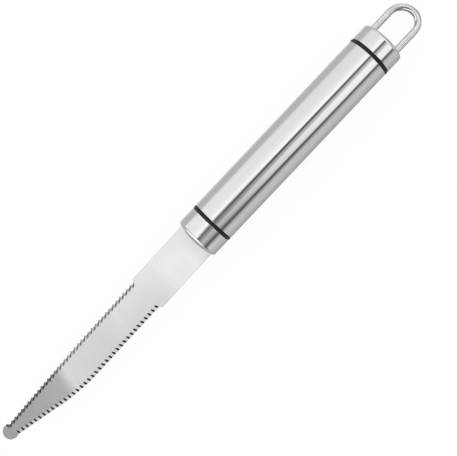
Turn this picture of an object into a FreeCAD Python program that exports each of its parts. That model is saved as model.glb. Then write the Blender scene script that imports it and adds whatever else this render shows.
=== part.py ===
import FreeCAD, Part
import os
from math import asin, atan, cos, radians, sin, sqrt, tan

from FreeCAD import Vector

# Grapefruit knife with a double-edged serrated blade, lying on its round handle.
# Millimetres. +X runs along the handle to the blade's tip, +Z is up. While it is built, the
# handle's axis is the X axis, and x = 0 is the plane at the handle's length from its rear face,
# beside the round shoulder of the domed front cap. At the end all pieces move together, so that
# the origin is on the table, under the middle of the knife.

# Handle: a thin tube with a drawn cap at each end and a black ring in each joint
handle_diameter = 18.5
handle_length = 104.0
wall = 0.6
cap_length = 7.65
ring_section = 1.5
ring_proud = 0.1
ring_flat = 0.06
dome_radius = 27.5
dome_apex = 1.89
front_cap_round = 1.1
rear_cap_round = 1.4
plug_length = 24.0
plug_gap = 0.2

# Blade: one ground sheet, set slightly askew, with its last third bent down a little
blade_thickness = 1.0
blade_width = 15.9
blade_skew = 0.95
skew_pivot_depth = 9.2
edge_break = 0.15
tang_width = 9.0
tang_length = 24.0
bend_start = 74.0
bend_angle = 5.0
bend_radius = 30.0
bend_slant = 12.0

# Toothed edges, along the line of the tooth tips, in the blade's own plan
plain_length = 28.9
toothed_start = 29.6
left_tip_start = -7.25
left_knee = (61.0, -7.07)
left_tip_end = (104.4, -5.8)
right_tip_start = 6.83
right_curve_start = (65.0, 6.73)
right_tip_end = (105.9, -0.4)
right_end_slope = 0.224
ball_centre = (106.1, -3.1)
ball_radius = 3.2

# Gullets ground from above with round-faced wheels: scallops through the left edge, and narrow
# grooves on the right that leave its lower edge whole. The depth is that of a gullet's floor
# under the top face, on the line of the tooth tips.
gullet_pitch = 2.045
gullet_count = 37
gullet_lean = 22.0
left_first_gullet = 30.45
left_gullet_radius = 1.2
left_gullet_slope = 38.0
left_gullet_depth = 1.46
right_first_gullet = 29.95
right_gullet_radius = 0.42
right_gullet_slope = 25.0
right_gullet_depth = 0.82

# Hanging loop: round wire bent to a U, a little fuller on its right side
wire_diameter = 2.7
leg_spacing = 12.0
loop_left_bend = 6.6
loop_length = 17.1
leg_depth = 14.0

clearance = 0.05
handle_radius = handle_diameter / 2
bore_radius = handle_radius - wall
ring_groove_radius = handle_radius + ring_proud - ring_section
ring_rest_radius = handle_radius + ring_proud - ring_flat
dome_centre = dome_apex - dome_radius
shoulder_radius = handle_radius - front_cap_round
shoulder_x = dome_centre + sqrt((dome_radius - front_cap_round) ** 2 - shoulder_radius ** 2)
x_axis = Vector(1, 0, 0)
z_axis = Vector(0, 0, 1)


# Plan of the blade

def blade_point(u, v):
    """Turn a point of the blade's own plan into the handle's frame."""
    turn = radians(blade_skew)
    along = u + skew_pivot_depth
    x = along * cos(turn) - v * sin(turn) - skew_pivot_depth
    return Vector(x, along * sin(turn) + v * cos(turn), 0)


def left_tip_line(u):
    """Place and slope of the line through the left tooth tips."""
    start, end = (toothed_start, left_tip_start), left_knee
    if u > left_knee[0]:
        start, end = left_knee, left_tip_end
    slope = (end[1] - start[1]) / (end[0] - start[0])
    return start[1] + slope * (u - start[0]), slope


def right_curve():
    """Corner of the two straight stretches on the right, and the tangent arc that rounds it."""
    first = atan((right_curve_start[1] - right_tip_start) / (right_curve_start[0] - toothed_start))
    second = -atan(right_end_slope)
    rise = right_tip_end[1] + right_end_slope * right_tip_end[0]
    base = right_tip_start - tan(first) * toothed_start
    corner = (rise - base) / (tan(first) + right_end_slope)
    reach = (corner - right_curve_start[0]) / cos(first)
    radius = reach / tan((first - second) / 2)
    centre_u = right_curve_start[0] + radius * sin(first)
    centre_v = right_curve_start[1] - radius * cos(first)
    end_u = centre_u - radius * sin(second)
    return first, radius, (centre_u, centre_v), end_u


def right_tip_line(u):
    """Place and slope of the line through the right tooth tips."""
    first, radius, centre, end_u = right_curve()
    if u < right_curve_start[0]:
        return right_tip_start + tan(first) * (u - toothed_start), tan(first)
    if u > end_u:
        return right_tip_end[1] - right_end_slope * (u - right_tip_end[0]), -right_end_slope
    height = sqrt(radius ** 2 - (u - centre[0]) ** 2)
    return centre[1] + height, -(u - centre[0]) / height


def blade_outline():
    """Closed plan of the blade and its tang, without the gullets."""
    half = blade_width / 2
    shoulder = shoulder_x - plug_gap
    end_u = right_curve()[3]
    arc = [(u, right_tip_line(u)[0]) for u in (right_curve_start[0],
                                               (right_curve_start[0] + end_u) / 2, end_u)]
    run = [arc[0], (toothed_start, right_tip_start), (plain_length, half), (shoulder, half)]
    run += [(shoulder, tang_width / 2), (shoulder - tang_length, tang_width / 2)]
    run += [(shoulder - tang_length, -tang_width / 2), (shoulder, -tang_width / 2)]
    run += [(shoulder, -half), (plain_length, -half), (toothed_start, left_tip_start)]
    run += [left_knee, left_tip_end, right_tip_end, arc[2]]
    corners = [blade_point(*point) for point in run]
    edges = [Part.LineSegment(a, b).toShape() for a, b in zip(corners, corners[1:])]
    edges.append(Part.Arc(*[blade_point(*point) for point in reversed(arc)]).toShape())
    return Part.Face(Part.Wire(edges))


# Bend of the blade

bend_origin = blade_point(bend_start, 0)
bend_forward = Vector(cos(radians(bend_slant)), -sin(radians(bend_slant)), 0)
bend_across = Vector(sin(radians(bend_slant)), cos(radians(bend_slant)), 0)
arc_reach = bend_radius * sin(radians(bend_angle))
arc_drop = bend_radius * (1 - cos(radians(bend_angle)))


def sheet_height(point):
    """Height of the sheet's middle over a place in plan, and its slope angle there."""
    forward = (point - bend_origin).dot(bend_forward)
    if forward <= 0:
        return 0.0, 0.0
    if forward < arc_reach:
        return sqrt(bend_radius ** 2 - forward ** 2) - bend_radius, asin(forward / bend_radius)
    return -arc_drop - (forward - arc_reach) * tan(radians(bend_angle)), radians(bend_angle)


def bent_sheet():
    """Slab of the blade's thickness that follows the bend and is wider than the blade."""
    back, far, half = 120.0, 45.0, 30.0
    angle = radians(bend_angle)
    pivot = Vector(0, 0, -bend_radius)

    def stretch(offset):
        radius = bend_radius + offset
        arc = [pivot + Vector(radius * sin(a), 0, radius * cos(a)) for a in (0, angle / 2, angle)]
        tail = arc[2] + Vector(cos(angle), 0, -sin(angle)) * far
        return Vector(-back, 0, offset), arc, tail

    top_back, top_arc, top_tail = stretch(blade_thickness / 2)
    low_back, low_arc, low_tail = stretch(-blade_thickness / 2)
    edges = [Part.LineSegment(low_back, top_back).toShape()]
    edges.append(Part.LineSegment(top_back, top_arc[0]).toShape())
    edges.append(Part.Arc(*top_arc).toShape())
    edges.append(Part.LineSegment(top_arc[2], top_tail).toShape())
    edges.append(Part.LineSegment(top_tail, low_tail).toShape())
    edges.append(Part.LineSegment(low_tail, low_arc[2]).toShape())
    edges.append(Part.Arc(*reversed(low_arc)).toShape())
    edges.append(Part.LineSegment(low_arc[0], low_back).toShape())
    face = Part.Face(Part.Wire(edges))
    slab = face.extrude(Vector(0, 2 * half, 0))
    slab.translate(Vector(0, -half, 0))
    slab.rotate(Vector(0, 0, 0), z_axis, -bend_slant)
    slab.translate(bend_origin)
    return slab


# Gullets

def gullet(u, tip_line, side, radius, slope, depth):
    """Round groove that runs down and out through the edge, leaning towards the handle."""
    v, rise = tip_line(u)
    tip = blade_point(u, v)
    along = blade_point(u + 1, v + rise) - tip
    along.normalize()
    out = Vector(-along.y, along.x, 0) * side
    lean = radians(gullet_lean)
    plan = out * cos(lean) - along * sin(lean)
    height, angle = sheet_height(tip)
    normal = bend_forward * sin(angle) + z_axis * cos(angle)
    down_sheet = plan - z_axis * (tan(angle) * plan.dot(bend_forward))
    down_sheet.normalize()
    fall = radians(slope)
    axis = down_sheet * cos(fall) - normal * sin(fall)
    lift = down_sheet * sin(fall) + normal * cos(fall)
    floor = tip + z_axis * height + normal * (blade_thickness / 2 - depth)
    back, forth = 6.0, 5.0
    return Part.makeCylinder(radius, back + forth, floor + lift * radius - axis * back, axis)


def break_edges(shape):
    """Take the sharpness off the plain edges, above and below."""
    ends = [blade_point(1.0, side * blade_width / 2) for side in (-1, 1)]
    middle = blade_point(plain_length / 2, 0).x
    chosen = []
    for edge in shape.Edges:
        place = edge.CenterOfMass
        beside = [abs(place.y - end.y) for end in ends]
        if edge.Length > plain_length and abs(place.x - middle) < 5 and min(beside) < 1:
            chosen.append(edge)
    return shape.makeChamfer(edge_break, chosen)


def make_blade():
    tall = 40.0
    plan = blade_outline().extrude(Vector(0, 0, tall))
    ball = Part.makeCylinder(ball_radius, tall, blade_point(*ball_centre))
    blank = plan.fuse(ball).removeSplitter()
    blank.translate(Vector(0, 0, -tall / 2))
    blade = break_edges(blank.common(bent_sheet()))
    for index in range(gullet_count):
        left_u = left_first_gullet + index * gullet_pitch
        right_u = right_first_gullet + index * gullet_pitch
        blade = blade.cut([
            gullet(left_u, left_tip_line, -1, left_gullet_radius, left_gullet_slope, left_gullet_depth),
            gullet(right_u, right_tip_line, 1, right_gullet_radius, right_gullet_slope,
                   right_gullet_depth)])
    return blade


# Turned and drawn pieces of the handle

def turned(points):
    """Solid of revolution about the handle's axis from (x, radius) corners and arcs."""
    edges = []
    for a, b in zip(points, points[1:] + points[:1]):
        start, end = Vector(a[0], 0, a[1]), Vector(b[0], 0, b[1])
        if len(a) == 3:
            edges.append(Part.Arc(start, Vector(a[2][0], 0, a[2][1]), end).toShape())
        else:
            edges.append(Part.LineSegment(start, end).toShape())
    return Part.Face(Part.Wire(edges)).revolve(Vector(0, 0, 0), x_axis, 360)


def on_arc(x, radius, size, angle):
    """Point (x, radius) of an arc about a centre, at an angle from the handle's axis."""
    return (x + size * cos(angle), radius + size * sin(angle))


def domed_cap():
    """Drawn cup with a shallow domed end, rounded at its shoulder, and its mouth towards -X."""
    inner_radius = dome_radius - wall
    inner_round = front_cap_round - wall
    meet = asin(shoulder_radius / (dome_radius - front_cap_round))
    middle = (meet + radians(90)) / 2
    dome_arc = on_arc(dome_centre, 0, dome_radius, meet / 2)
    shoulder_arc = on_arc(shoulder_x, shoulder_radius, front_cap_round, middle)
    inner_shoulder_arc = on_arc(shoulder_x, shoulder_radius, inner_round, middle)
    inner_arc = on_arc(dome_centre, 0, inner_radius, meet / 2)
    return turned([(dome_apex, 0, dome_arc),
                   on_arc(dome_centre, 0, dome_radius, meet) + (shoulder_arc,),
                   (shoulder_x, handle_radius), (-cap_length, handle_radius),
                   (-cap_length, bore_radius), (shoulder_x, bore_radius, inner_shoulder_arc),
                   on_arc(dome_centre, 0, inner_radius, meet) + (inner_arc,),
                   (dome_apex - wall, 0)])


def flat_cap(round_size):
    """Drawn cup with its flat, rounded end at x = 0 and its mouth towards -X."""
    inner = round_size - wall
    centre_x, centre_r = -round_size, handle_radius - round_size
    outer_arc = on_arc(centre_x, centre_r, round_size, radians(45))
    inner_arc = on_arc(centre_x, centre_r, inner, radians(45))
    return turned([(0, 0), (0, centre_r, outer_arc), (centre_x, handle_radius),
                   (-cap_length, handle_radius), (-cap_length, bore_radius),
                   (centre_x, bore_radius, inner_arc), (-wall, centre_r), (-wall, 0)])


def plug(start):
    """Moulded core that joins cap and tube, with a groove for the ring."""
    groove_end = -cap_length - ring_section
    return turned([(start, 0), (start, bore_radius), (-cap_length, bore_radius),
                   (-cap_length, ring_groove_radius), (groove_end, ring_groove_radius),
                   (groove_end, bore_radius), (start - plug_length, bore_radius),
                   (start - plug_length, 0)])


def ring():
    """Round-section ring behind a cap whose end is at x = 0, pressed flat where it lies."""
    middle = Vector(-cap_length - ring_section / 2, 0, 0)
    band = Part.makeTorus(handle_radius + ring_proud - ring_section / 2, ring_section / 2,
                          middle, x_axis)
    size = 2 * ring_section
    return band.cut(Part.makeBox(2 * size, 2 * size, size,
                                 Vector(middle.x - size, -size, -ring_rest_radius - size)))


def to_rear(shape):
    """Turn a piece made for the front end round to the rear end."""
    moved = shape.copy()
    moved.rotate(Vector(0, 0, 0), z_axis, 180)
    moved.translate(Vector(-handle_length, 0, 0))
    return moved


def make_front_cap():
    slot_width = blade_width + 2 * clearance
    slot_height = blade_thickness + 2 * clearance
    slot_depth = 2 * (dome_apex + wall)
    slot = Part.makeBox(slot_depth, slot_width, slot_height,
                        Vector(-slot_depth / 2, -slot_width / 2, -slot_height / 2))
    slot.rotate(Vector(0, 0, 0), z_axis, blade_skew)
    slot.translate(blade_point(0, 0))
    return domed_cap().cut(slot)


def make_tube():
    gap = cap_length + ring_section
    outer = Part.makeCylinder(handle_radius, handle_length - 2 * gap, Vector(-gap, 0, 0), -x_axis)
    inner = Part.makeCylinder(bore_radius, handle_length - 2 * gap, Vector(-gap, 0, 0), -x_axis)
    return outer.cut(inner)


def make_rear_cap():
    body = to_rear(flat_cap(rear_cap_round))
    for side in (-1, 1):
        start = Vector(-handle_length - wall, side * leg_spacing / 2, 0)
        body = body.cut(Part.makeCylinder(wire_diameter / 2 + clearance, 4 * wall, start, x_axis))
    return body


def make_loop():
    """Two straight legs joined by two quarter bends, as one bent wire."""
    inside = -handle_length + leg_depth
    side = leg_spacing / 2
    left, right = loop_left_bend, leg_spacing - loop_left_bend
    top = Vector(-handle_length - loop_length + wire_diameter / 2, side - right, 0)
    half = cos(radians(45))
    right_start, left_end = Vector(top.x + right, side, 0), Vector(top.x + left, -side, 0)
    right_middle = Vector(right_start.x - right * half, top.y + right * half, 0)
    left_middle = Vector(left_end.x - left * half, top.y - left * half, 0)
    path = Part.Wire([
        Part.LineSegment(Vector(inside, side, 0), right_start).toShape(),
        Part.Arc(right_start, right_middle, top).toShape(),
        Part.Arc(top, left_middle, left_end).toShape(),
        Part.LineSegment(left_end, Vector(inside, -side, 0)).toShape()])
    section = Part.Wire(Part.makeCircle(wire_diameter / 2, Vector(inside, side, 0), x_axis))
    return path.makePipeShell([section], True, True)


# All pieces, moved so that the origin is on the table under the knife's middle

blade = make_blade()
hanging_loop = make_loop()
pieces = {
    "blade": blade,
    "front_cap": make_front_cap(),
    "front_ring": ring(),
    "front_plug": plug(shoulder_x - plug_gap).cut(blade),
    "handle_tube": make_tube(),
    "rear_plug": to_rear(plug(-rear_cap_round - plug_gap)).cut(hanging_loop),
    "rear_ring": to_rear(ring()),
    "rear_cap": make_rear_cap(),
    "hanging_loop": hanging_loop,
}

tip_end = blade_point(*ball_centre).x + ball_radius
loop_end = -handle_length - loop_length
to_table = Vector(-(tip_end + loop_end) / 2, 0, ring_rest_radius)

os.makedirs("parts", exist_ok=True)
for name, shape in pieces.items():
    shape.translate(to_table)
    shape.exportStep("parts/" + name + ".step")
    box = shape.BoundBox
    print(name, "solids", len(shape.Solids), "valid", shape.isValid(), "volume", round(shape.Volume, 1))
    print("   x %.2f %.2f  y %.2f %.2f  z %.2f %.2f" % (box.XMin, box.XMax, box.YMin, box.YMax,
                                                       box.ZMin, box.ZMax))
print("whole length", round(tip_end - loop_end, 2), "front face at x", round(to_table.x, 3))
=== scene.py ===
# Grapefruit knife: a thin blade toothed on both edges, and a round steel handle with a
# black ring near each end and a wire loop to hang it by. It lies on a white table.
from math import asin, atan, cos, degrees, pi, radians, sin, sqrt, tan

import bmesh
import bpy
from mathutils import Matrix, Vector


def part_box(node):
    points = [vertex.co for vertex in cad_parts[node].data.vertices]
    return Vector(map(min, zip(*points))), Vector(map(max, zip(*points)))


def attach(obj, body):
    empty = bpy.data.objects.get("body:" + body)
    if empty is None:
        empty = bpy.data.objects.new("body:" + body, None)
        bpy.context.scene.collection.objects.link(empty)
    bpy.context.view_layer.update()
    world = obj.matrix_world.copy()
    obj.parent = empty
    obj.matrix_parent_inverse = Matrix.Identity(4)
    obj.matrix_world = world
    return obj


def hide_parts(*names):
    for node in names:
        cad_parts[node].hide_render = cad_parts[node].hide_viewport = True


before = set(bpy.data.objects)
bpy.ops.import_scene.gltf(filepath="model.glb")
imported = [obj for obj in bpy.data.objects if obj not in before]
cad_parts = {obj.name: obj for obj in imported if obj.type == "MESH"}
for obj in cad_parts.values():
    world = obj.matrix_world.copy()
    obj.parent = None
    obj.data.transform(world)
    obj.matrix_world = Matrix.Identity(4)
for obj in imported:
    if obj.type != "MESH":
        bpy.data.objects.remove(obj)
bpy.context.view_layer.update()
mm = 0.001
scene = bpy.context.scene

# What the frame says about the handle, in metres
tubeLow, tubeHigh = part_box("handle_tube")
frontCapLow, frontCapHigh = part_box("front_cap")
rearCapLow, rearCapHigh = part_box("rear_cap")
frontRingLow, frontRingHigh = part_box("front_ring")
rearRingLow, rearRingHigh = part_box("rear_ring")
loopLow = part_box("hanging_loop")[0]
axisHeight = (tubeLow.z + tubeHigh.z) / 2
handleRadius = (tubeHigh.z - tubeLow.z) / 2
rearFace = rearCapLow.x

handle = {
    "length": 104.0,  # mm from the rear face to the front cap's shoulder
    "wall": 0.6,
    "domeRadius": 27.5,  # the front cap's end bulges
    "domeShoulder": 1.1,
    "rearRound": 1.4,
    "rimRound": 0.12,  # the turned-in edge beside each ring
    "ringSection": 1.5,
    "clearance": 0.05,
    "segments": 256,
    "longFace": 1.0,  # a face longer than this gets a narrow band at each end
    "band": 0.05,
    "rimSteps": 4,
    "roundSteps": 16,
    "rearInnerSteps": 10,
    "frontInnerSteps": 8,
    "domeSteps": 24,
    "domeInnerSteps": 12,
    "ringSteps": 40,
    "slotDepth": 5.0,
    "holeDepth": 4.0,
    "holeSides": 48,
    "crisp": 32.0,  # degrees, sharper edges than this stay crisp
}
frontPlane = rearFace + handle["length"] * mm


# Small helpers

def colour(hexValue):
    # sRGB hex to the linear values that Blender works with
    parts = [int(hexValue[i:i + 2], 16) / 255 for i in (0, 2, 4)]
    return tuple(p / 12.92 if p <= 0.04045 else ((p + 0.055) / 1.055) ** 2.4 for p in parts) + (1.0,)


def grey(value):
    return (value, value, value, 1.0)


def addNode(tree, kind, inputs=None, stops=None, **settings):
    # one node with its settings; an input is a plain value or another node's output
    made = tree.nodes.new(kind)
    for name, value in settings.items():
        setattr(made, name, value)
    for name, value in (inputs or {}).items():
        if isinstance(value, bpy.types.NodeSocket):
            tree.links.new(value, made.inputs[name])
        else:
            made.inputs[name].default_value = value
    if stops:
        ramp = made.color_ramp
        while len(ramp.elements) < len(stops):
            ramp.elements.new(0.5)
        for element, (place, value) in zip(ramp.elements, stops):
            element.position = place
            element.color = value
    return made


def newMaterial(name):
    # a material, its node tree, and the socket that says where on the object a point lies
    material = bpy.data.materials.new(name)
    material.use_nodes = True
    tree = material.node_tree
    tree.nodes.clear()
    return material, tree, addNode(tree, "ShaderNodeTexCoord").outputs["Object"]


def meshObject(name, bm):
    mesh = bpy.data.meshes.new(name)
    bm.to_mesh(mesh)
    bm.free()
    made = bpy.data.objects.new(name, mesh)
    scene.collection.objects.link(made)
    return made


def shadeByAngle(piece, crisp):
    # smooth over the round parts, crisp at every real edge
    piece.data.polygons.foreach_set("use_smooth", [True] * len(piece.data.polygons))
    piece.data.set_sharp_from_angle(angle=radians(crisp))
    piece.data.update()


def setMaterial(piece, material):
    piece.data.materials.clear()
    piece.data.materials.append(material)


def bakeModifiers(piece):
    # the evaluated shape becomes the piece's plain mesh
    graph = bpy.context.evaluated_depsgraph_get()
    plain = bpy.data.meshes.new_from_object(piece.evaluated_get(graph), depsgraph=graph)
    piece.modifiers.clear()
    piece.data = plain
    return piece


def dropObject(thing):
    bpy.data.objects.remove(thing, do_unlink=True)


# Camera: it looks almost straight down, with the knife across the picture's diagonal

camera = {
    "focal": 80.6,  # mm
    "sensor": 36.0,
    "distance": 395.0,  # mm from the point below the picture's middle
    "aim": (-5.29, 6.03),  # mm, the point of the handle's axis plane at the picture's middle
    "tilt": 2.4,  # degrees, the loop's end is a little nearer
    "handleTurn": 46.58,  # degrees that the handle's axis stands above the picture's width
    "clip": (0.01, 50.0),  # metres
}


def placeCamera():
    tilt, turn = radians(camera["tilt"]), radians(camera["handleTurn"])
    along = Vector((cos(tilt), 0, sin(tilt)))
    back = Vector((-sin(tilt), 0, cos(tilt)))
    across = Vector((0, 1, 0))
    right = across * sin(turn) - along * cos(turn)
    up = -along * sin(turn) - across * cos(turn)
    aim = Vector((camera["aim"][0] * mm, camera["aim"][1] * mm, axisHeight))
    lens = bpy.data.cameras.new("camera")
    lens.lens, lens.sensor_width, lens.sensor_fit = camera["focal"], camera["sensor"], "HORIZONTAL"
    lens.clip_start, lens.clip_end = camera["clip"]
    made = bpy.data.objects.new("camera", lens)
    scene.collection.objects.link(made)
    made.matrix_world = Matrix.Translation(aim + back * camera["distance"] * mm) @ Matrix(
        (right, up, back)).transposed().to_4x4()
    scene.camera = made


placeCamera()
print("camera placed")


# Steel, rubber and moulded plastic

noiseRange = (0.3, 0.7)  # nearly all of a noise's values lie between these
skinGrain = 0.25  # mm, of the rubber
mouldGrain = 0.4  # mm, of the plastic

steel = {
    "tubeGrain": 0.30,  # mm between the finest polishing lines; real ones are finer than a pixel
    "tubeGrainLength": 60,  # times as long round the tube as they are wide
    "drawWidth": 0.45,  # mm, the faint streaks along the tube from when it was drawn
    "drawLength": 27.0,
    "bladeGrain": 0.40,  # mm, drawn as coarse as the picture can show
    "bladeGrainLength": 40,
    "bladeGrainTurn": -12.0,  # degrees
    "beltWave": 18.2,  # mm, the slow waves that a grinding belt leaves
    "gulletGrain": 0.12,
    "wirePatch": 1.43,  # mm, where tumbling has rubbed the wire more or less
    "bendFade": 6.0,  # mm from the bend over which the painted shade and highlight on the edges come in
    "landFade": 0.5,
    "landSteps": 8,  # stretches of the edge, each so many mm long, that a land is drawn along
    "landStep": 4.0,
    "landReach": 10.0,  # mm either side of the handle's middle that the edges stay within
    "landEnd": 1.0,
}


def tubeSteel():
    # Stainless tube, belt-polished round its axis: the lines blur a reflection along the
    # handle and leave it sharp across, so lamps show as long clear streaks.
    material, tree, place = newMaterial("polished_stainless_tube")
    grain = 1 / (steel["tubeGrain"] * mm)
    length = grain / steel["tubeGrainLength"]
    lines = addNode(tree, "ShaderNodeMapping", {"Vector": place, "Scale": (grain, length, length)})
    fine = addNode(tree, "ShaderNodeTexNoise", {
        "Vector": lines.outputs[0], "Scale": 1.0, "Detail": 3.0, "Roughness": 0.6})
    along, across = 1 / (steel["drawLength"] * mm), 1 / (steel["drawWidth"] * mm)
    streaks = addNode(tree, "ShaderNodeMapping", {"Vector": place, "Scale": (along, across, across)})
    draw = addNode(tree, "ShaderNodeTexNoise", {
        "Vector": streaks.outputs[0], "Scale": 1.0, "Detail": 2.0, "Roughness": 0.5})
    both = addNode(tree, "ShaderNodeMix", {0: 0.35, 2: fine.outputs[0], 3: draw.outputs[0]})
    tone = addNode(tree, "ShaderNodeValToRGB", {"Fac": both.outputs[0]}, stops=[
        (noiseRange[0], colour("B7B8B8")), (noiseRange[1], colour("BDBDBE"))])
    gloss = addNode(tree, "ShaderNodeMapRange", {
        "Value": fine.outputs[0], "From Min": noiseRange[0], "From Max": noiseRange[1],
        "To Min": 0.07, "To Max": 0.11})
    relief = addNode(tree, "ShaderNodeBump", {
        "Height": both.outputs[0], "Strength": 0.01, "Distance": 0.02 * mm})
    turn = addNode(tree, "ShaderNodeTangent", direction_type="RADIAL", axis="X")
    shader = addNode(tree, "ShaderNodeBsdfPrincipled", {
        "Base Color": tone.outputs[0], "Metallic": 1.0, "Roughness": gloss.outputs[0],
        "Anisotropic": 0.5, "Anisotropic Rotation": 0.25, "Tangent": turn.outputs[0],
        "Normal": relief.outputs[0]})
    addNode(tree, "ShaderNodeOutputMaterial", {"Surface": shader.outputs[0]})
    return material


def pastBend(tree, place):
    # 0 over the flat stretch of the blade and 1 over the bent one
    start = bladePoint(blade["bendStart"], 0).x
    part = addNode(tree, "ShaderNodeSeparateXYZ", {0: place})
    return addNode(tree, "ShaderNodeMapRange", {
        "Value": part.outputs["X"], "From Min": start * mm,
        "From Max": (start + steel["bendFade"]) * mm}).outputs[0]


def landShare(tree, place, line, edge):
    # 1 on the land of a toothed edge in the bent stretch, up to its end, and 0 over the rest: where that
    # land's painted tone goes
    stations = [blade["bendStart"] + steel["landStep"] * i for i in range(steel["landSteps"] + 1)]
    tips = [bladePoint(u, line(u)[0]) for u in stations]
    low, high, reach = tips[0].x, tips[-1].x, steel["landReach"]
    part = addNode(tree, "ShaderNodeSeparateXYZ", {0: place}).outputs
    along = addNode(tree, "ShaderNodeMapRange", {
        "Value": part["X"], "From Min": low * mm, "From Max": high * mm})
    tipLine = addNode(tree, "ShaderNodeValToRGB", {"Fac": along.outputs[0]}, stops=[
        ((tip.x - low) / (high - low), grey(tip.y / (2 * reach) + 0.5)) for tip in tips])
    tipY = addNode(tree, "ShaderNodeMath", {
        0: tipLine.outputs[0], 1: 2 * reach * mm, 2: -reach * mm}, operation="MULTIPLY_ADD")
    inward = addNode(tree, "ShaderNodeMath", {0: tipY.outputs[0], 1: part["Y"]}, operation="SUBTRACT")
    away = addNode(tree, "ShaderNodeMath", {0: inward.outputs[0], 1: edge["side"]}, operation="MULTIPLY")
    width = edge["landWidth"]
    near = addNode(tree, "ShaderNodeMapRange", {
        "Value": away.outputs[0], "From Min": width * mm, "From Max": (width - steel["landFade"]) * mm})
    last = bladePoint(edge["landStop"], 0).x
    short = addNode(tree, "ShaderNodeMapRange", {
        "Value": part["X"], "From Min": last * mm, "From Max": (last - steel["landEnd"]) * mm})
    share = addNode(tree, "ShaderNodeMath", {0: near.outputs[0], 1: pastBend(tree, place)},
                    operation="MULTIPLY")
    return addNode(tree, "ShaderNodeMath", {0: share.outputs[0], 1: short.outputs[0]},
                   operation="MULTIPLY").outputs[0]


def bladeSteel():
    # Ground sheet: a soft grey gloss with faint lines across the blade and slow waves left
    # by the grinding belt. Past the bend the lands of the right edge carry a painted highlight,
    # and the tooth tips of the left edge painted shade.
    material, tree, place = newMaterial("ground_stainless_sheet_painted_edges")
    grain = 1 / (steel["bladeGrain"] * mm)
    length = grain / steel["bladeGrainLength"]
    lines = addNode(tree, "ShaderNodeMapping", {
        "Vector": place, "Rotation": (0, 0, radians(steel["bladeGrainTurn"])),
        "Scale": (grain, length, length)})
    fine = addNode(tree, "ShaderNodeTexNoise", {
        "Vector": lines.outputs[0], "Scale": 1.0, "Detail": 3.0, "Roughness": 0.6})
    slow = addNode(tree, "ShaderNodeTexNoise", {
        "Vector": place, "Scale": 1 / (steel["beltWave"] * mm), "Detail": 1.5, "Roughness": 0.4})
    tone = addNode(tree, "ShaderNodeValToRGB", {"Fac": fine.outputs[0]}, stops=[
        (noiseRange[0], colour("C3C3C3")), (noiseRange[1], colour("C7C7C7"))])
    # past the bend, a painted highlight on the right land and painted shade on the left one
    bright = addNode(tree, "ShaderNodeMix", {
        0: landShare(tree, place, rightLine, rightGullets), 6: tone.outputs[0],
        7: colour(rightGullets["paintedLandTone"])}, data_type="RGBA")
    paintedEdges = addNode(tree, "ShaderNodeMix", {
        0: landShare(tree, place, leftLine, leftGullets), 6: bright.outputs[2],
        7: colour(leftGullets["paintedLandTone"])}, data_type="RGBA")
    gloss = addNode(tree, "ShaderNodeMapRange", {
        "Value": slow.outputs[0], "From Min": noiseRange[0], "From Max": noiseRange[1],
        "To Min": 0.12, "To Max": 0.18})
    waves = addNode(tree, "ShaderNodeBump", {
        "Height": slow.outputs[0], "Strength": 0.3, "Distance": 0.05 * mm})
    relief = addNode(tree, "ShaderNodeBump", {
        "Height": fine.outputs[0], "Strength": 0.015, "Distance": 0.02 * mm, "Normal": waves.outputs[0]})
    shader = addNode(tree, "ShaderNodeBsdfPrincipled", {
        "Base Color": paintedEdges.outputs[2], "Metallic": 1.0, "Roughness": gloss.outputs[0],
        "Normal": relief.outputs[0]})
    addNode(tree, "ShaderNodeOutputMaterial", {"Surface": shader.outputs[0]})
    return material


def gulletSteel(name, edge):
    # Steel straight off the grinding wheel, with painted shade: a gullet's faces are painted
    # darker the further they turn from one way, and past the bend by a further share.
    material, tree, place = newMaterial(name)
    grain = addNode(tree, "ShaderNodeTexNoise", {
        "Vector": place, "Scale": 1 / (steel["gulletGrain"] * mm), "Detail": 2.0})
    normal = addNode(tree, "ShaderNodeNewGeometry").outputs["Normal"]
    towards = addNode(tree, "ShaderNodeVectorMath", {0: normal, 1: edge["paintedLightWay"]},
                      operation="DOT_PRODUCT").outputs["Value"]
    uneven = addNode(tree, "ShaderNodeMath", {0: grain.outputs[0], 1: 0.06, 2: towards},
                     operation="MULTIPLY_ADD")
    tone = addNode(tree, "ShaderNodeValToRGB", {"Fac": uneven.outputs[0]}, stops=[
        (facing, colour(hexValue)) for facing, hexValue in edge["tones"]])
    # past the bend the gullet's tone is darkened further: painted shade
    paintedShade = addNode(tree, "ShaderNodeMix", {
        0: pastBend(tree, place), 6: tone.outputs[0], 7: grey(edge["bentShade"])},
        data_type="RGBA", blend_type="MULTIPLY")
    relief = addNode(tree, "ShaderNodeBump", {
        "Height": grain.outputs[0], "Strength": 0.05, "Distance": 0.02 * mm})
    shader = addNode(tree, "ShaderNodeBsdfPrincipled", {
        "Base Color": paintedShade.outputs[2], "Metallic": 1.0, "Roughness": 0.3, "Normal": relief.outputs[0]})
    addNode(tree, "ShaderNodeOutputMaterial", {"Surface": shader.outputs[0]})
    return material


def wireSteel():
    # Drawn and tumbled wire: a clear gloss that differs a little from patch to patch
    material, tree, place = newMaterial("drawn_stainless_wire")
    patches = addNode(tree, "ShaderNodeTexNoise", {
        "Vector": place, "Scale": 1 / (steel["wirePatch"] * mm), "Detail": 2.0})
    tone = addNode(tree, "ShaderNodeValToRGB", {"Fac": patches.outputs[0]}, stops=[
        (noiseRange[0], colour("B0B1B2")), (noiseRange[1], colour("BEBEBE"))])
    gloss = addNode(tree, "ShaderNodeMapRange", {
        "Value": patches.outputs[0], "From Min": noiseRange[0], "From Max": noiseRange[1],
        "To Min": 0.10, "To Max": 0.18})
    shader = addNode(tree, "ShaderNodeBsdfPrincipled", {
        "Base Color": tone.outputs[0], "Metallic": 1.0, "Roughness": gloss.outputs[0]})
    addNode(tree, "ShaderNodeOutputMaterial", {"Surface": shader.outputs[0]})
    return material


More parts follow.
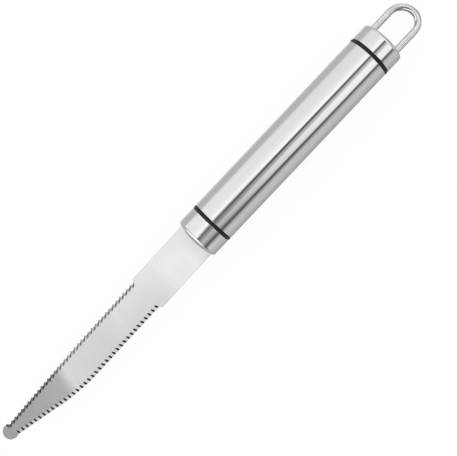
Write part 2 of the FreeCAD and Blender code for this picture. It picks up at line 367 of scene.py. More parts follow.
def ringRubber():
    # Moulded nitrile rubber: near black, with a dull grey line of light along its crown
    material, tree, place = newMaterial("black_nitrile_rubber")
    skin = addNode(tree, "ShaderNodeTexNoise", {
        "Vector": place, "Scale": 1 / (skinGrain * mm), "Detail": 3.0})
    tone = addNode(tree, "ShaderNodeValToRGB", {"Fac": skin.outputs[0]}, stops=[
        (noiseRange[0], colour("0B0B0B")), (noiseRange[1], colour("121212"))])
    gloss = addNode(tree, "ShaderNodeMapRange", {
        "Value": skin.outputs[0], "From Min": noiseRange[0], "From Max": noiseRange[1],
        "To Min": 0.40, "To Max": 0.52})
    relief = addNode(tree, "ShaderNodeBump", {
        "Height": skin.outputs[0], "Strength": 0.1, "Distance": 0.01 * mm})
    shader = addNode(tree, "ShaderNodeBsdfPrincipled", {
        "Base Color": tone.outputs[0], "Roughness": gloss.outputs[0], "IOR": 1.52,
        "Specular IOR Level": 0.20, "Normal": relief.outputs[0]})
    addNode(tree, "ShaderNodeOutputMaterial", {"Surface": shader.outputs[0]})
    return material


def corePlastic():
    # Injection-moulded polypropylene, grey and matt; only its edge shows in the slot
    material, tree, place = newMaterial("moulded_polypropylene")
    grain = addNode(tree, "ShaderNodeTexNoise", {
        "Vector": place, "Scale": 1 / (mouldGrain * mm), "Detail": 2.0})
    tone = addNode(tree, "ShaderNodeValToRGB", {"Fac": grain.outputs[0]}, stops=[
        (noiseRange[0], colour("5A5B5C")), (noiseRange[1], colour("646566"))])
    relief = addNode(tree, "ShaderNodeBump", {
        "Height": grain.outputs[0], "Strength": 0.15, "Distance": 0.02 * mm})
    shader = addNode(tree, "ShaderNodeBsdfPrincipled", {
        "Base Color": tone.outputs[0], "Roughness": 0.5, "IOR": 1.49, "Normal": relief.outputs[0]})
    addNode(tree, "ShaderNodeOutputMaterial", {"Surface": shader.outputs[0]})
    return material


# Blade: one sheet, cut to its outline, bent a little, with gullets ground into both edges

blade = {
    "width": 15.9,  # all in mm; places are along the blade's own middle line
    "thickness": 1.0,
    "skew": 0.95,  # degrees off the handle's axis
    "skewPivot": 9.2,  # how deep inside the handle it turns
    "tangWidth": 9.0,
    "tangLength": 24.0,
    "shoulder": -0.7,
    "edgeBreak": 0.15,
    "tipBreak": 0.12,
    "plainLength": 28.9,
    "toothedStart": 29.6,
    "leftStart": -7.25,
    "leftKnee": (61.0, -7.07),
    "leftEnd": (104.4, -5.8),
    "rightStart": 6.83,
    "rightCurveStart": (65.0, 6.73),
    "rightEnd": (105.9, -0.4),
    "rightEndSlope": 0.224,
    "ballCentre": (106.1, -3.1),
    "ballRadius": 3.2,
    "bendStart": 72.69,  # softer than a tight fold, with the same middle
    "bendAngle": 5.0,
    "bendRadius": 60.0,
    "bendSlant": 12.0,
    "bendSteps": 10,
    "tipSteps": 64,
    "curveSteps": 24,
    "breakSteps": 3,
    "nearness": 0.02,  # how far from a line a point may be and still lie on it
    "crisp": 12.0,  # degrees, sharper edges than this stay crisp
}

gullets = {
    "pitch": 2.045,
    "count": 37,
    "wheelSides": 56,
    "wheelReach": 11.0,
    "wheelBack": 6.0,
    "lean": 22.0,  # degrees towards the handle
}

# Scallops through the left edge, and narrow grooves on the right that leave its lower edge whole
leftGullets = {
    "side": -1.0,
    "first": 30.45,
    "radius": 1.2,
    "slope": 38.0,  # degrees down and out through the edge
    "depth": 1.46,  # of the floor under the top face, on the line of the tooth tips
    "paintedLightWay": (-0.60, -0.36, 0.72),  # faces turned this way get the lightest tone, faces turned away painted shade
    "tones": ((0.78, "6C6C6D"), (0.90, "9C9C9C")),  # painted shade, by how nearly a face faces that way
    "bentShade": 0.34,  # painted shade: how much of that tone is left past the bend
    "landWidth": 0.8,  # from the tooth tips in
    "landStop": 103.2,
    # painted shade on the left tooth tips past the bend
    "paintedLandTone": "858585",
}
rightGullets = {
    "side": 1.0,
    "first": 29.95,
    "radius": 0.42,
    "slope": 25.0,
    "depth": 0.82,
    "paintedLightWay": (-0.10, 0.62, 0.78),
    # the right grooves are painted dark: painted shade on their walls
    "tones": ((0.86, "303031"), (0.93, "3C3C3C")),
    "bentShade": 1.0,
    "landWidth": 1.5,
    "landStop": 104.5,
    # painted highlight on the right land past the bend
    "paintedLandTone": "EAEAEA",
}


def bladePoint(u, v):
    # from the blade's own plan to the table, in mm
    turn = radians(blade["skew"])
    along = u + blade["skewPivot"]
    x = along * cos(turn) - v * sin(turn) - blade["skewPivot"] + frontPlane / mm
    return Vector((x, along * sin(turn) + v * cos(turn)))


def leftLine(u):
    a, b, c = (blade["toothedStart"], blade["leftStart"]), blade["leftKnee"], blade["leftEnd"]
    start, end = (a, b) if u <= b[0] else (b, c)
    slope = (end[1] - start[1]) / (end[0] - start[0])
    return start[1] + slope * (u - start[0]), slope


def rightCurve():
    # two straight stretches joined by a tangent arc
    start, corner0, end = blade["toothedStart"], blade["rightCurveStart"], blade["rightEnd"]
    first = atan((corner0[1] - blade["rightStart"]) / (corner0[0] - start))
    second = -atan(blade["rightEndSlope"])
    rise = end[1] + blade["rightEndSlope"] * end[0]
    corner = (rise - blade["rightStart"] + tan(first) * start) / (tan(first) + blade["rightEndSlope"])
    radius = (corner - corner0[0]) / cos(first) / tan((first - second) / 2)
    centre = (corner0[0] + radius * sin(first), corner0[1] - radius * cos(first))
    return first, radius, centre, centre[0] - radius * sin(second)


def rightLine(u):
    first, radius, centre, arcEnd = rightCurve()
    if u < blade["rightCurveStart"][0]:
        return blade["rightStart"] + tan(first) * (u - blade["toothedStart"]), tan(first)
    if u > arcEnd:
        end, slope = blade["rightEnd"], blade["rightEndSlope"]
        return end[1] - slope * (u - end[0]), -slope
    height = sqrt(radius ** 2 - (u - centre[0]) ** 2)
    return centre[1] + height, -(u - centre[0]) / height


def ballMeets(line):
    # where a tooth line runs into the round tip
    centre, step = Vector(blade["ballCentre"]), 0.01
    u = centre.x
    while (Vector((u, line(u)[0])) - centre).length < blade["ballRadius"]:
        u -= step
    return Vector((u, line(u)[0]))


def bladeOutline():
    # closed plan, anticlockwise from above
    half, root, tang = blade["width"] / 2, blade["shoulder"], blade["tangWidth"] / 2
    arcEnd = rightCurve()[3]
    centre, size = Vector(blade["ballCentre"]), blade["ballRadius"]
    low, high = ballMeets(leftLine), ballMeets(rightLine)
    turnLow = Vector((1, 0)).angle_signed(low - centre)
    turnHigh = Vector((1, 0)).angle_signed(high - centre)
    # angle_signed counts clockwise, so both are turned round
    a, b = -turnLow, -turnHigh
    if b < a:
        b += 2 * pi
    steps, curveSteps = blade["tipSteps"], blade["curveSteps"]
    plan = [(root - blade["tangLength"], -tang), (root, -tang), (root, -half)]
    plan += [(blade["plainLength"], -half), (blade["toothedStart"], blade["leftStart"])]
    plan += [blade["leftKnee"]]
    plan += [(centre.x + size * cos(a + (b - a) * i / steps),
              centre.y + size * sin(a + (b - a) * i / steps)) for i in range(steps + 1)]
    arcStart = blade["rightCurveStart"][0]
    plan += [(u, rightLine(u)[0]) for u in
             (arcEnd + (arcStart - arcEnd) * i / curveSteps for i in range(curveSteps + 1))]
    plan += [(blade["toothedStart"], blade["rightStart"]), (blade["plainLength"], half)]
    plan += [(root, half), (root, tang), (root - blade["tangLength"], tang)]
    return [bladePoint(*point) for point in plan]


bendForward = Vector((cos(radians(blade["bendSlant"])), -sin(radians(blade["bendSlant"]))))
bendOrigin = bladePoint(blade["bendStart"], 0)


def sheetHeight(point, offset):
    # height over the flat part's middle, for a layer that far above the sheet's middle
    forward = (point - bendOrigin).dot(bendForward)
    size, angle = blade["bendRadius"] + offset, radians(blade["bendAngle"])
    reach = size * sin(angle)
    if forward <= 0:
        return offset
    if forward < reach:
        return sqrt(size ** 2 - forward ** 2) - blade["bendRadius"]
    return size * cos(angle) - blade["bendRadius"] - (forward - reach) * tan(angle)


def sheetNormal(point):
    forward = (point - bendOrigin).dot(bendForward)
    angle = asin(min(max(forward / blade["bendRadius"], 0), sin(radians(blade["bendAngle"]))))
    return Vector((bendForward.x * sin(angle), bendForward.y * sin(angle), cos(angle)))


def bladeBlank():
    bm = bmesh.new()
    bm.faces.new([bm.verts.new((p.x, p.y, 0)) for p in bladeOutline()])
    reach = (blade["bendRadius"] + blade["thickness"] / 2) * sin(radians(blade["bendAngle"]))
    across = Vector((bendForward.x, bendForward.y, 0))
    for step in range(blade["bendSteps"] + 1):
        place = bendOrigin + bendForward * reach * step / blade["bendSteps"]
        bmesh.ops.bisect_plane(bm, geom=bm.verts[:] + bm.edges[:] + bm.faces[:], dist=1e-5,
                               plane_co=(place.x, place.y, 0), plane_no=across)
    made = bmesh.ops.extrude_face_region(bm, geom=bm.faces[:])
    lower = {thing for thing in made["geom"] if isinstance(thing, bmesh.types.BMVert)}
    half = blade["thickness"] / 2
    for vert in bm.verts:
        vert.co.z = sheetHeight(vert.co.xy, -half if vert in lower else half)
    bmesh.ops.recalc_face_normals(bm, faces=bm.faces[:])
    breakEdges(bm)
    bmesh.ops.scale(bm, vec=(mm, mm, mm), verts=bm.verts[:])
    bmesh.ops.translate(bm, vec=(0, 0, axisHeight), verts=bm.verts[:])
    return meshObject("blade", bm)


def breakEdges(bm):
    # the plain edges and the round tip lose their sharpness, above and below
    spare, levelEnough, longEdge, shortEdge = 0.5, 0.9, 5.0, 1.0
    plainFrom = bladePoint(blade["shoulder"], 0).x - spare
    plainTo = bladePoint(blade["plainLength"], 0).x + spare
    centre = bladePoint(*blade["ballCentre"])
    plain, tip = [], []
    for edge in bm.edges:
        level = [face for face in edge.link_faces if abs(face.normal.z) > levelEnough]
        if len(level) != 1:
            continue
        a, b = edge.verts[0].co, edge.verts[1].co
        length = abs(b.x - a.x)
        if min(a.x, b.x) > plainFrom and max(a.x, b.x) < plainTo and length > longEdge:
            plain.append(edge)
        misses = [abs((end.xy - centre).length - blade["ballRadius"]) for end in (a, b)]
        if max(misses) < blade["nearness"] and length < shortEdge:
            tip.append(edge)
    for chosen, size in ((plain, blade["edgeBreak"]), (tip, blade["tipBreak"])):
        bmesh.ops.bevel(bm, geom=chosen, offset=size, segments=blade["breakSteps"], profile=0.5,
                        affect="EDGES", clamp_overlap=True)


# what each wheel's point carries
pointValues = {"run": "FLOAT_VECTOR", "out": "FLOAT_VECTOR", "sheetNormal": "FLOAT_VECTOR",
               "wheelRadius": "FLOAT", "slope": "FLOAT"}


def wheelPlaces():
    # one point per gullet, on its floor at the line of the tooth tips, with its directions and size
    places = []
    values = {name: [] for name in pointValues}
    half = blade["thickness"] / 2
    for line, edge in ((leftLine, leftGullets), (rightLine, rightGullets)):
        for index in range(gullets["count"]):
            u = edge["first"] + index * gullets["pitch"]
            v, rise = line(u)
            tip = bladePoint(u, v)
            run = (bladePoint(u + 1, v + rise) - tip).normalized()
            normal = sheetNormal(tip)
            place = Vector((tip.x, tip.y, sheetHeight(tip, 0))) + normal * (half - edge["depth"])
            places.append(place * mm + Vector((0, 0, axisHeight)))
            values["run"] += [run.x, run.y, 0]
            values["out"] += [-run.y * edge["side"], run.x * edge["side"], 0]
            values["sheetNormal"] += list(normal)
            values["wheelRadius"].append(edge["radius"] * mm)
            values["slope"].append(radians(edge["slope"]))
    mesh = bpy.data.meshes.new("wheel_places")
    mesh.from_pydata(places, [], [])
    for name, kind in pointValues.items():
        layer = mesh.attributes.new(name, kind, "POINT")
        layer.data.foreach_set("value" if kind == "FLOAT" else "vector", values[name])
    made = bpy.data.objects.new("wheel_places", mesh)
    scene.collection.objects.link(made)
    return made


def gulletTree():
    # a grinding wheel's round face set at every place, and taken out of the blank
    tree = bpy.data.node_groups.new("gullets", "GeometryNodeTree")
    sockets = {"Blank": "Geometry", "Places": "Object", "Wheel Reach": "Float", "Wheel Back": "Float",
               "Lean": "Float", "Wheel Sides": "Int", "Sheet Steel Painted Edges": "Material",
               "Left Gullet Painted Shade": "Material", "Right Gullet Painted Shade": "Material"}
    for name, kind in sockets.items():
        tree.interface.new_socket(name, in_out="INPUT", socket_type="NodeSocket" + kind)
    tree.interface.new_socket("Blade", in_out="OUTPUT", socket_type="NodeSocketGeometry")
    given = addNode(tree, "NodeGroupInput").outputs
    named = {name: addNode(tree, "GeometryNodeInputNamedAttribute", {"Name": name},
                           data_type=kind).outputs[0] for name, kind in pointValues.items()}
    for name, angle in (("lean", given["Lean"]), ("slope", named["slope"])):
        for part, operation in (("Cos", "COSINE"), ("Sin", "SINE")):
            named[name + part] = addNode(tree, "ShaderNodeMath", {0: angle}, operation=operation).outputs[0]
    named["half"] = addNode(tree, "ShaderNodeMath", {0: given["Wheel Reach"], 1: 0.5},
                            operation="MULTIPLY").outputs[0]
    named["shift"] = addNode(tree, "ShaderNodeMath", {0: named["half"], 1: given["Wheel Back"]},
                             operation="SUBTRACT").outputs[0]
    steps = [
        # plan direction: out of the edge, leaning towards the handle
        ("outPart", "SCALE", "out", "leanCos"),
        ("runPart", "SCALE", "run", "leanSin"),
        ("plan", "SUBTRACT", "outPart", "runPart"),
        # the same direction laid in the sheet, then sloped down through it
        ("rise", "PROJECT", "plan", "sheetNormal"),
        ("flat", "SUBTRACT", "plan", "rise"),
        ("unit", "NORMALIZE", "flat", None),
        ("alongPlan", "SCALE", "unit", "slopeCos"),
        ("alongNormal", "SCALE", "sheetNormal", "slopeSin"),
        ("axis", "SUBTRACT", "alongPlan", "alongNormal"),
        # from the gullet's floor up to the wheel's own middle line, and back into the sheet
        ("liftPlan", "SCALE", "unit", "slopeSin"),
        ("liftNormal", "SCALE", "sheetNormal", "slopeCos"),
        ("lift", "ADD", "liftPlan", "liftNormal"),
        ("up", "SCALE", "lift", "wheelRadius"),
        ("forth", "SCALE", "axis", "shift"),
        ("offset", "ADD", "up", "forth"),
    ]
    for name, operation, first, second in steps:
        inputs = {0: named[first]}
        if second:
            inputs["Scale" if operation == "SCALE" else 1] = named[second]
        named[name] = addNode(tree, "ShaderNodeVectorMath", inputs, operation=operation).outputs[0]
    # the wheels' faces
    source = addNode(tree, "GeometryNodeObjectInfo", {"Object": given["Places"]})
    points = addNode(tree, "GeometryNodeMeshToPoints", {"Mesh": source.outputs["Geometry"]})
    moved = addNode(tree, "GeometryNodeSetPosition", {
        "Geometry": points.outputs[0], "Offset": named["offset"]})
    aim = addNode(tree, "FunctionNodeAlignRotationToVector", {"Vector": named["axis"]}, axis="Z")
    wheel = addNode(tree, "GeometryNodeMeshCylinder", {
        "Vertices": given["Wheel Sides"], "Radius": 1.0, "Depth": given["Wheel Reach"]})
    girth = addNode(tree, "ShaderNodeCombineXYZ", {
        0: named["wheelRadius"], 1: named["wheelRadius"], 2: 1.0})
    wheels = addNode(tree, "GeometryNodeInstanceOnPoints", {
        "Points": moved.outputs[0], "Instance": wheel.outputs[0], "Rotation": aim.outputs[0],
        "Scale": girth.outputs[0]})
    solid = addNode(tree, "GeometryNodeRealizeInstances", {0: wheels.outputs[0]})
    outPlace = addNode(tree, "ShaderNodeSeparateXYZ", {0: named["out"]})
    onRight = addNode(tree, "FunctionNodeCompare", {0: outPlace.outputs["Y"], 1: 0.0},
                      data_type="FLOAT", operation="GREATER_THAN")
    leftSolid = addNode(tree, "GeometryNodeSetMaterial", {
        "Geometry": solid.outputs[0], "Material": given["Left Gullet Painted Shade"]})
    wheelSolid = addNode(tree, "GeometryNodeSetMaterial", {
        "Geometry": leftSolid.outputs[0], "Selection": onRight.outputs[0],
        "Material": given["Right Gullet Painted Shade"]})
    sheet = addNode(tree, "GeometryNodeSetMaterial", {
        "Geometry": given["Blank"], "Material": given["Sheet Steel Painted Edges"]})
    cut = addNode(tree, "GeometryNodeMeshBoolean", {
        "Mesh 1": sheet.outputs[0], "Mesh 2": wheelSolid.outputs[0], "Self Intersection": True},
        operation="DIFFERENCE", solver="EXACT")
    plain = addNode(tree, "GeometryNodeRealizeInstances", {0: cut.outputs[0]})
    inLeft = addNode(tree, "GeometryNodeMaterialSelection", {"Material": given["Left Gullet Painted Shade"]})
    inRight = addNode(tree, "GeometryNodeMaterialSelection", {"Material": given["Right Gullet Painted Shade"]})
    onSheet = addNode(tree, "FunctionNodeBooleanMath", {0: inLeft.outputs[0], 1: inRight.outputs[0]},
                      operation="NOR")
    last = addNode(tree, "GeometryNodeSetMaterial", {
        "Geometry": plain.outputs[0], "Selection": onSheet.outputs[0],
        "Material": given["Sheet Steel Painted Edges"]})
    addNode(tree, "NodeGroupOutput", {0: last.outputs[0]})
    return tree


def setInputs(modifier, tree, values):
    for item in tree.interface.items_tree:
        if item.in_out == "INPUT" and item.name in values:
            modifier[item.identifier] = values[item.name]


def makeBlade():
    piece = bladeBlank()
    places = wheelPlaces()
    tree = gulletTree()
    ground = piece.modifiers.new("gullets", "NODES")
    ground.node_group = tree
    setInputs(ground, tree, {
        "Places": places, "Wheel Reach": gullets["wheelReach"] * mm,
        "Wheel Back": gullets["wheelBack"] * mm, "Lean": radians(gullets["lean"]),
        "Wheel Sides": gullets["wheelSides"], "Sheet Steel Painted Edges": bladeSteelPaintedEdges,
        "Left Gullet Painted Shade": leftGulletPaintedShade, "Right Gullet Painted Shade": rightGulletPaintedShade})
    bakeModifiers(piece)
    dropObject(places)
    shadeByAngle(piece, blade["crisp"])
    return piece


tubeFinish = tubeSteel()
bladeSteelPaintedEdges = bladeSteel()
rightGulletPaintedShade = gulletSteel("gullet_steel_painted_shade_right", rightGullets)
leftGulletPaintedShade = gulletSteel("gullet_steel_painted_shade_left", leftGullets)
wireFinish = wireSteel()
rubberFinish = ringRubber()
coreFinish = corePlastic()
print("materials made")

bladePiece = makeBlade()
print("blade ground:", len(bladePiece.data.polygons), "faces")


# Handle: two drawn caps, a tube and a ring in each joint

def arcPoints(centreX, centreR, size, start, end, steps):
    # along an arc in the (x, radius) plane, angles in degrees
    return [(centreX + size * cos(radians(start + (end - start) * i / steps)),
             centreR + size * sin(radians(start + (end - start) * i / steps)))
            for i in range(steps + 1)]


def withBands(profile):
    # a long face gets a narrow band at each end, so that its shading stays true
    banded = []
    for start, end in zip(profile, profile[1:] + profile[:1]):
        banded.append(start)
        a, b = Vector(start), Vector(end)
        if (b - a).length > handle["longFace"] * mm:
            step = (b - a).normalized() * handle["band"] * mm
            banded += [tuple(a + step), tuple(b - step)]
    return banded


def turned(name, profile):
    # solid of revolution about the handle's axis; (x, radius) in metres
    bm = bmesh.new()
    count = handle["segments"]
    rows = []
    onAxis = 1e-9
    for x, radius in withBands(profile):
        if radius < onAxis:
            rows.append([bm.verts.new((x, 0, axisHeight))])
        else:
            rows.append([bm.verts.new((x, radius * sin(2 * pi * i / count),
                                       axisHeight + radius * cos(2 * pi * i / count)))
                         for i in range(count)])
    for a, b in zip(rows, rows[1:] + rows[:1]):
        if len(a) == 1 and len(b) == 1:
            continue
        for i in range(count):
            j = (i + 1) % count
            if len(a) == 1:
                bm.faces.new((a[0], b[i], b[j]))
            elif len(b) == 1:
                bm.faces.new((a[i], b[0], a[j]))
            else:
                bm.faces.new((a[i], b[i], b[j], a[j]))
    bmesh.ops.recalc_face_normals(bm, faces=bm.faces[:])
    return meshObject(name, bm)


def flatCap(name, face, mouth):
    # drawn cup with its flat, rounded end towards the loop
    wall, rim = handle["wall"] * mm, handle["rimRound"] * mm
    size, bore = handle["rearRound"] * mm, handleRadius - wall
    roundX, roundR = face + size, handleRadius - size
    profile = [(face, 0)] + arcPoints(roundX, roundR, size, 180, 90, handle["roundSteps"])
    profile += arcPoints(mouth - rim, handleRadius - rim, rim, 90, 0, handle["rimSteps"])
    profile += [(mouth, bore)]
    profile += arcPoints(roundX, roundR, size - wall, 90, 180, handle["rearInnerSteps"])
    return turned(name, profile + [(face + wall, 0)])


def domedCap(name, apex, mouth):
    # drawn cup whose end towards the blade is a shallow dome
    wall, rim = handle["wall"] * mm, handle["rimRound"] * mm
    dome, size, bore = handle["domeRadius"] * mm, handle["domeShoulder"] * mm, handleRadius - wall
    centre, roundR = apex - dome, handleRadius - size
    roundX = centre + sqrt((dome - size) ** 2 - roundR ** 2)
    meet = degrees(asin(roundR / (dome - size)))
    profile = arcPoints(centre, 0, dome, 0, meet, handle["domeSteps"])
    profile += arcPoints(roundX, roundR, size, meet, 90, handle["roundSteps"])[1:]
    profile += arcPoints(mouth + rim, handleRadius - rim, rim, 90, 180, handle["rimSteps"])
    profile += [(mouth, bore)]
    profile += arcPoints(roundX, roundR, size - wall, 90, meet, handle["frontInnerSteps"])
    profile += arcPoints(centre, 0, dome - wall, meet, 0, handle["domeInnerSteps"])[1:]
    return turned(name, profile)


def makeTube():
    wall, rim = handle["wall"] * mm, handle["rimRound"] * mm
    front, rear, bore = tubeHigh.x, tubeLow.x, handleRadius - wall
    profile = arcPoints(front - rim, handleRadius - rim, rim, 0, 90, handle["rimSteps"])
    profile += arcPoints(rear + rim, handleRadius - rim, rim, 90, 180, handle["rimSteps"])
    profile += [(rear, bore), (front, bore)]
    return turned("handle_tube", profile)


def makeRing(name, low, high):
    # round section; the rubber is pressed flat where the knife lies on it
    size = handle["ringSection"] * mm / 2
    middleX, middleR = (low.x + high.x) / 2, high.z - axisHeight - size
    profile = arcPoints(middleX, middleR, size, 0, 360, handle["ringSteps"])[:-1]
    piece = turned(name, profile)
    for vert in piece.data.vertices:
        vert.co.z = max(vert.co.z, 0.0)
    return piece


def cutBox(name, size, turn, place):
    bm = bmesh.new()
    bmesh.ops.create_cube(bm, size=1.0)
    bmesh.ops.scale(bm, vec=size, verts=bm.verts[:])
    bmesh.ops.rotate(bm, cent=(0, 0, 0), matrix=Matrix.Rotation(turn, 3, "Z"), verts=bm.verts[:])
    bmesh.ops.translate(bm, vec=place, verts=bm.verts[:])
    return meshObject(name, bm)


def cutPin(name, radius, length, place):
    bm = bmesh.new()
    bmesh.ops.create_cone(bm, cap_ends=True, segments=handle["holeSides"], radius1=radius,
                          radius2=radius, depth=length)
    bmesh.ops.rotate(bm, cent=(0, 0, 0), matrix=Matrix.Rotation(pi / 2, 3, "Y"), verts=bm.verts[:])
    bmesh.ops.translate(bm, vec=place, verts=bm.verts[:])
    return meshObject(name, bm)


def cutOut(piece, cutters):
    for cutter in cutters:
        step = piece.modifiers.new("cut", "BOOLEAN")
        step.object, step.operation, step.solver = cutter, "DIFFERENCE", "EXACT"
    bakeModifiers(piece)
    for cutter in cutters:
        dropObject(cutter)
    shadeByAngle(piece, handle["crisp"])
    return piece


loop = {
    "wire": 2.7,  # mm
    "legSpacing": 12.0,
    "leftBend": 6.6,  # the bend is a little fuller on its right side
    "legDepth": 14.0,
    "sides": 40,
    "bendSteps": 32,
}


def makeFrontCap():
    piece = domedCap("front_cap", frontCapHigh.x, frontCapLow.x)
    spare = 2 * handle["clearance"]
    middle = bladePoint(0, 0)
    size = Vector((handle["slotDepth"], blade["width"] + spare, blade["thickness"] + spare)) * mm
    slot = cutBox("slot", size, radians(blade["skew"]), (middle.x * mm, middle.y * mm, axisHeight))
    return cutOut(piece, [slot])


def makeRearCap():
    piece = flatCap("rear_cap", rearFace, rearCapHigh.x)
    size, depth = (loop["wire"] / 2 + handle["clearance"]) * mm, handle["holeDepth"] * mm
    away = loop["legSpacing"] / 2 * mm
    holes = [cutPin("hole", size, depth, (rearFace, y, axisHeight)) for y in (-away, away)]
    return cutOut(piece, holes)


def makeLoop():
    # two straight legs and two quarter bends, swept from one end to the other
    size, side = loop["wire"] * mm / 2, loop["legSpacing"] * mm / 2
    left = loop["leftBend"] * mm
    right = 2 * side - left
    topX, topY = loopLow.x + size, side - right
    inside = rearFace + loop["legDepth"] * mm
    stations = [((inside, side), (0, 1))]
    steps = loop["bendSteps"]
    for i in range(2 * steps + 1):
        bend, angle = right if i < steps else left, pi / 2 * (1 + i / steps)
        stations.append(((topX + bend + bend * cos(angle), topY + bend * sin(angle)),
                         (cos(angle), sin(angle))))
    stations.append(((inside, -side), (0, -1)))
    bm = bmesh.new()
    rows = []
    for (x, y), (outX, outY) in stations:
        rows.append([bm.verts.new((x + outX * size * cos(a), y + outY * size * cos(a),
                                   axisHeight + size * sin(a)))
                     for a in (2 * pi * k / loop["sides"] for k in range(loop["sides"]))])
    for a, b in zip(rows, rows[1:]):
        for k in range(loop["sides"]):
            j = (k + 1) % loop["sides"]
            bm.faces.new((a[k], a[j], b[j], b[k]))
    bm.faces.new(rows[0])
    bm.faces.new(rows[-1])
    bmesh.ops.recalc_face_normals(bm, faces=bm.faces[:])
    return meshObject("hanging_loop", bm)


frontCap = makeFrontCap()
rearCap = makeRearCap()
tube = makeTube()
frontRing = makeRing("front_ring", frontRingLow, frontRingHigh)
rearRing = makeRing("rear_ring", rearRingLow, rearRingHigh)
hangingLoop = makeLoop()
for piece in (tube, frontRing, rearRing, hangingLoop):
    shadeByAngle(piece, handle["crisp"])
for piece, finish in ((frontCap, tubeFinish), (rearCap, tubeFinish), (tube, tubeFinish),
                      (frontRing, rubberFinish), (rearRing, rubberFinish), (hangingLoop, wireFinish)):
    setMaterial(piece, finish)
for name in ("front_plug", "rear_plug"):
    setMaterial(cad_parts[name], coreFinish)
print("handle made")


# Table and studio

table = {
    "size": 6.0,  # metres
    "drop": 0.00002,  # just under the rings' flats
    "paper": "F2F2F2",
    "white": 0.92,  # share of plain white that the camera sees
    # how bright the steel sees it, by mm across the knife: a painted shadow beside the handle, seen only in
    # reflections
    "mirrored": [(-60, 0.92), (-41, 0.82), (-30, 0.84), (-22, 0.89), (-17, 0.90), (-12, 0.94),
                 (-6, 0.94), (6, 0.40), (12, 0.50), (17, 0.58), (22, 0.70), (30, 0.78), (45, 0.93),
                 (60, 1.0)],
}


def makeTable():
    bm = bmesh.new()
    bmesh.ops.create_grid(bm, x_segments=1, y_segments=1, size=table["size"] / 2)
    bmesh.ops.translate(bm, vec=(0, 0, -table["drop"]), verts=bm.verts[:])
    piece = meshObject("table", bm)
    material, tree, place = newMaterial("white_paper")
    paper = addNode(tree, "ShaderNodeBsdfDiffuse", {"Color": colour(table["paper"])})
    rays = addNode(tree, "ShaderNodeLightPath").outputs
    bounced = addNode(tree, "ShaderNodeMath", {0: rays["Is Glossy Ray"], 1: rays["Is Transmission Ray"]},
                      operation="MAXIMUM")
    across = addNode(tree, "ShaderNodeSeparateXYZ", {0: place})
    reach = table["mirrored"][-1][0]
    spread = addNode(tree, "ShaderNodeMapRange", {
        "Value": across.outputs["Y"], "From Min": -reach * mm, "From Max": reach * mm})
    shade = addNode(tree, "ShaderNodeValToRGB", {"Fac": spread.outputs[0]}, stops=[
        (away / (2 * reach) + 0.5, grey(value)) for away, value in table["mirrored"]])
    # glossy and transmission rays see the painted shadow, the camera plain white
    seenTone = addNode(tree, "ShaderNodeMix", {0: bounced.outputs[0], 6: grey(1.0), 7: shade.outputs[0]},
                       data_type="RGBA")
    white = addNode(tree, "ShaderNodeEmission", {"Color": seenTone.outputs[2], "Strength": 1.0})
    seen = addNode(tree, "ShaderNodeMath", {0: rays["Is Camera Ray"], 1: bounced.outputs[0]},
                   operation="MAXIMUM")
    share = addNode(tree, "ShaderNodeMath", {0: seen.outputs[0], 1: table["white"]},
                    operation="MULTIPLY")
    mixed = addNode(tree, "ShaderNodeMixShader", {
        0: share.outputs[0], 1: paper.outputs[0], 2: white.outputs[0]})
    addNode(tree, "ShaderNodeOutputMaterial", {"Surface": mixed.outputs[0]})
    setMaterial(piece, material)


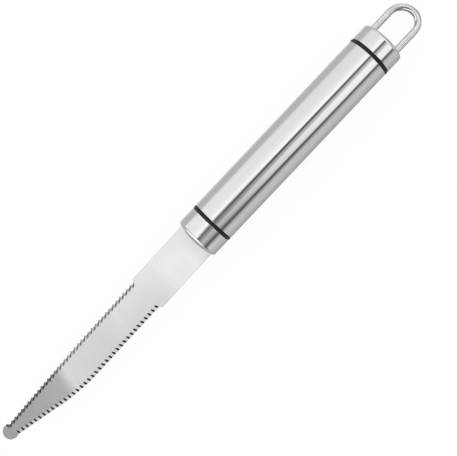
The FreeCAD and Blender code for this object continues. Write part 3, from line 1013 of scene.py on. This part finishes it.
# Brightness of the studio round the handle's axis: degrees from straight up, towards the
# blade's right side when positive. There is a list for each stretch of the knife and for
# what lies past its ends.
studio = {
    "pastLoop": [
        (-180, 0.9), (-120, 1.0), (-92, 1.1), (-60, 1.3), (-20, 1.5), (20, 1.45), (40, 1.3),
        (60, 0.8), (120, 0.75), (180, 0.9)
    ],
    "overLoop": [
        (-180, 0.9), (-92, 1.05), (-86, 1.3), (-73, 1.46), (-51, 1.47), (-40, 1.5), (-30, 1.55),
        (-20, 1.65), (-9, 1.88), (-3, 2.0), (0, 1.25), (2.5, 0.42), (4.8, 0.12), (7, 0.1),
        (9.5, 0.36), (12, 0.78), (14.5, 0.98), (19, 1.0), (22, 1.22), (26, 1.7), (29, 1.88),
        (38, 1.8), (51.8, 1.8), (58.5, 0.22), (63, 0.16), (71, 0.74), (84, 1.06), (180, 0.95)
    ],
    "overMiddle": [
        (-180, 0.9), (-92, 1.05), (-86, 1.33), (-73, 1.51), (-51, 1.5), (-40, 1.54), (-30, 1.59),
        (-20, 1.68), (-11, 1.9), (-7, 2.0), (-4, 2.0), (-1.5, 1.35), (1, 0.28), (3.3, 0.05),
        (6, 0.06), (8.5, 0.3), (11, 0.66), (13.5, 0.86), (18, 0.76), (20.5, 0.88), (24, 1.3),
        (27, 1.54), (38, 1.46), (50, 1.34), (56, 0.15), (62, 0.14), (71, 0.74), (84, 1.06),
        (180, 0.95)
    ],
    "overFront": [
        (-180, 0.9), (-92, 1.05), (-86, 1.36), (-73, 1.58), (-51, 1.56), (-40, 1.6), (-30, 1.64),
        (-20, 1.72), (-11, 2.0), (-6, 1.45), (-3, 0.82), (0, 0.32), (3, 0.18), (6, 0.2), (9, 0.31),
        (12, 0.42), (16, 0.46), (19, 0.51), (29, 0.92), (38, 0.91), (49, 0.5), (57, 0.18),
        (63, 0.2), (71, 0.72), (84, 1.06), (180, 0.95)
    ],
    "overBlade": [
        (-180, 0.8), (-92, 0.8), (-60, 0.85), (-30, 0.9), (-12, 1.0), (-7, 1.4), (1.8, 1.4),
        (4.3, 0.25), (9, 0.14), (13, 0.2), (19, 0.28), (29, 0.42), (38, 0.42), (49, 0.3), (57, 0.1),
        (63, 0.1), (71, 0.5), (84, 0.8), (92, 0.9), (180, 0.9)
    ],
    "pastTip": [
        (-180, 1.3), (57, 1.3), (67, 0.12), (112, 0.12), (140, 0.9), (180, 1.3)
    ],
    # degrees towards the tip between which one list becomes the next
    "changes": [(-14.0, -12.6), (-7.8, -3.2), (-2.6, 2.0), (3.95, 4.35), (18.0, 30.0)],
    # what the lists' brightness is multiplied by, by degrees towards the tip
    "towardsTip": [
        (-90, 0.3), (-66, 0.3), (-58, 1.2), (-20, 1.0), (4.0, 1.0), (4.4, 2.0), (5.3, 1.72),
        (6.7, 1.08), (8.4, 0.92), (10.3, 1.0), (12.2, 1.08), (12.9, 0.5), (13.5, 0.5), (14.2, 1.24),
        (15.6, 1.04), (17.7, 0.82), (20, 0.72), (22, 0.63), (25, 0.57), (27, 0.49), (29, 0.4),
        (33, 0.38), (37, 1.95), (60, 1.95), (90, 1.3)
    ],
    "brightest": 2.0,  # a ramp's colours end at 1, so it holds shares of this
}


def makeStudio():
    world = bpy.data.worlds.new("studio")
    scene.world = world
    world.use_nodes = True
    tree = world.node_tree
    tree.nodes.clear()
    way = addNode(tree, "ShaderNodeTexCoord").outputs["Generated"]
    part = addNode(tree, "ShaderNodeSeparateXYZ", {0: way}).outputs
    turn = addNode(tree, "ShaderNodeMath", {0: part["Y"], 1: part["Z"]}, operation="ARCTAN2")
    share = addNode(tree, "ShaderNodeMath", {0: turn.outputs[0], 1: 1 / (2 * pi), 2: 0.5},
                    operation="MULTIPLY_ADD")
    top = studio["brightest"]
    rings = [addNode(tree, "ShaderNodeValToRGB", {"Fac": share.outputs[0]}, stops=[
        (angle / 360 + 0.5, grey(value / top)) for angle, value in studio[name]]).outputs[0]
        for name in ("pastLoop", "overLoop", "overMiddle", "overFront", "overBlade", "pastTip")]
    lean = addNode(tree, "ShaderNodeMath", {0: part["X"]}, operation="ARCSINE")
    mixed = rings[0]
    for change, ring in zip(studio["changes"], rings[1:]):
        low, high = (radians(angle) for angle in change)
        amount = addNode(tree, "ShaderNodeMapRange", {
            "Value": lean.outputs[0], "From Min": low, "From Max": high})
        mixed = addNode(tree, "ShaderNodeMix", {0: amount.outputs[0], 6: mixed, 7: ring},
                        data_type="RGBA").outputs[2]
    tipShare = addNode(tree, "ShaderNodeMath", {0: lean.outputs[0], 1: 1 / pi, 2: 0.5},
                       operation="MULTIPLY_ADD")
    towards = addNode(tree, "ShaderNodeValToRGB", {"Fac": tipShare.outputs[0]}, stops=[
        (angle / 180 + 0.5, grey(value / top)) for angle, value in studio["towardsTip"]])
    both = addNode(tree, "ShaderNodeMix", {0: 1.0, 6: mixed, 7: towards.outputs[0]},
                   data_type="RGBA", blend_type="MULTIPLY")
    light = addNode(tree, "ShaderNodeBackground", {"Color": both.outputs[2], "Strength": top * top})
    plain = addNode(tree, "ShaderNodeBackground", {"Color": grey(1.0), "Strength": 1.0})
    rays = addNode(tree, "ShaderNodeLightPath").outputs
    seen = addNode(tree, "ShaderNodeMixShader", {
        0: rays["Is Camera Ray"], 1: light.outputs[0], 2: plain.outputs[0]})
    addNode(tree, "ShaderNodeOutputWorld", {"Surface": seen.outputs[0]})


makeTable()
makeStudio()
scene.view_settings.view_transform = "Standard"
print("table and studio made")


# What each piece stands for and rides on

stands = {
    "blade": (bladePiece, "blade_steel"),
    "front_cap": (frontCap, "handle_steel"),
    "handle_tube": (tube, "handle_steel"),
    "rear_cap": (rearCap, "handle_steel"),
    "front_ring": (frontRing, "ring_rubber"),
    "rear_ring": (rearRing, "ring_rubber"),
    "hanging_loop": (hangingLoop, "wire_steel"),
}
for node, (piece, slot) in stands.items():
    piece.name = node + "_look"
    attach(piece, "root")
    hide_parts(node)

print("pieces ride on the frame")
